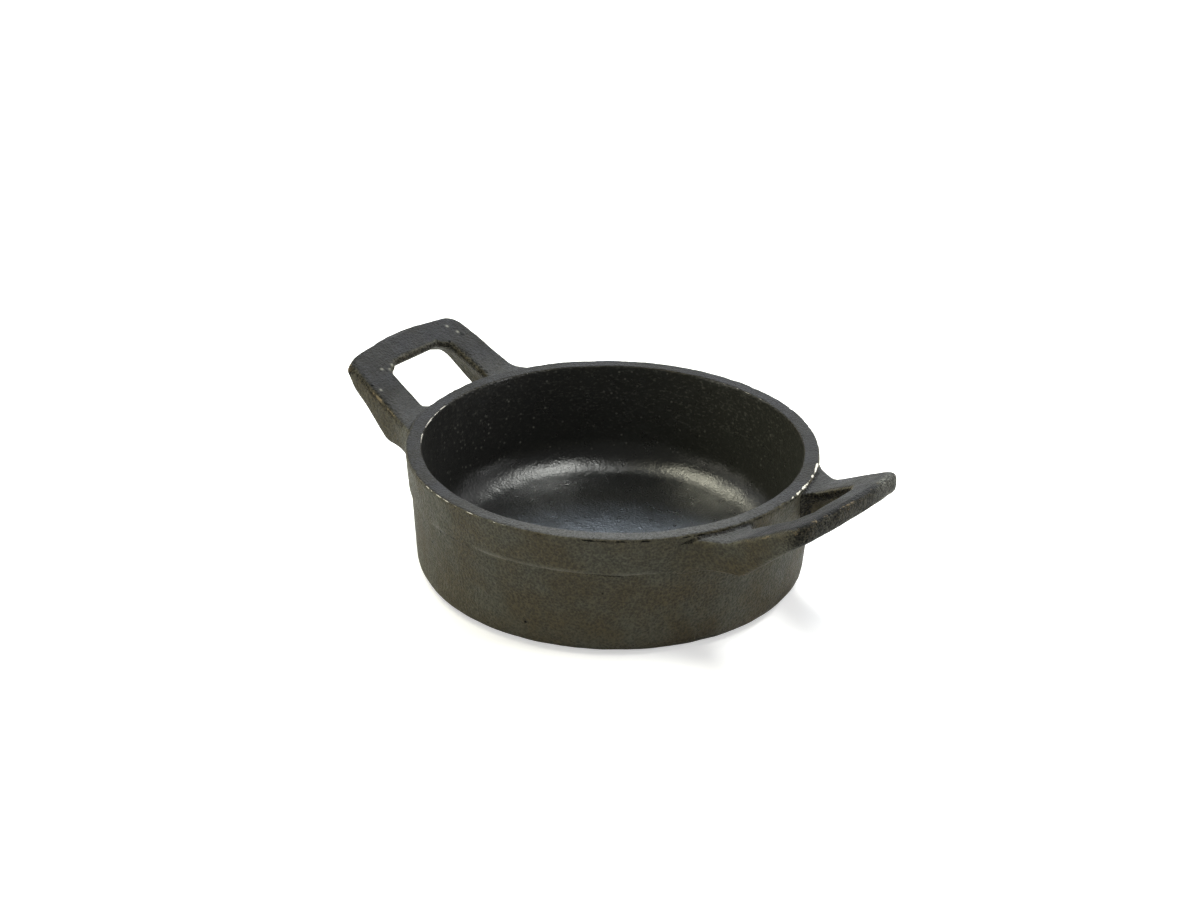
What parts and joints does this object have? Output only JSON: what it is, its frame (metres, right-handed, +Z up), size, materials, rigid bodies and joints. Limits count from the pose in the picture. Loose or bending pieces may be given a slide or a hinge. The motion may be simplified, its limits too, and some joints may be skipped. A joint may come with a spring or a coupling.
{
  "type": "mini cast iron dish",
  "caption": "Small round cast iron dish with steep sides, a thick band at the rim and a raised loop handle at each end, for baking and serving.",
  "frame": {"origin": "centre of the flat base, on the table", "axes": "+Z up out of the mouth, +X through loop_handle_right, so that both handles lie on the X axis"},
  "size_m": [0.1568, 0.1098, 0.0444],
  "materials": {
    "bowl_iron": "seasoned sand-cast skin, fine grain, satin on the inside floor",
    "right_handle_iron": "seasoned sand-cast skin, fine grain, worn brighter on the edges",
    "left_handle_iron": "seasoned sand-cast skin, fine grain, worn brighter on the edges"
  },
  "bodies": {
    "root": {"bowl": "bowl_iron", "loop_handle_right": "right_handle_iron", "loop_handle_left": "left_handle_iron"}
  },
  "joints": []
}
